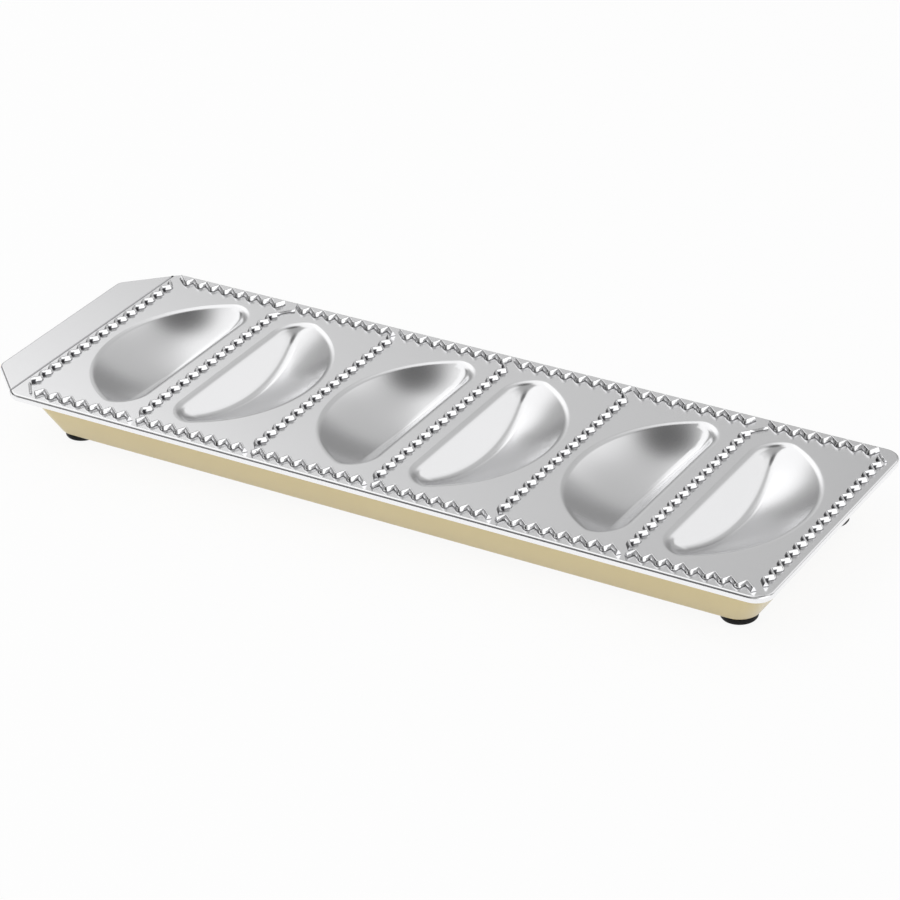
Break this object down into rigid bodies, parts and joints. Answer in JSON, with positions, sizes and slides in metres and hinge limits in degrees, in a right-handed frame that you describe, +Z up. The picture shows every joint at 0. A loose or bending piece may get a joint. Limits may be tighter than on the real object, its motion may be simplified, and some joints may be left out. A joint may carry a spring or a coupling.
{
  "type": "ravioli mold",
  "caption": "Half-moon ravioli mould: stamped aluminium plate with zigzag cutting ridges and a hanging tab, hemmed onto a painted tray-shaped frame on rubber feet",
  "frame": {"origin": "middle of the overall footprint, on the surface that the four feet stand on", "axes": "+X along the length, away from the hanging tab; +Y across it; +Z up"},
  "size_m": [0.332, 0.1104, 0.0244],
  "materials": {
    "plate": "satin, as stamped",
    "frame": "smooth cream enamel on steel sheet",
    "feet": "moulded, slightly glossy"
  },
  "bodies": {
    "root": {"mould_plate": "plate", "base_frame": "frame", "foot_near_left": "feet", "foot_near_right": "feet", "foot_far_left": "feet", "foot_far_right": "feet"}
  },
  "joints": []
}
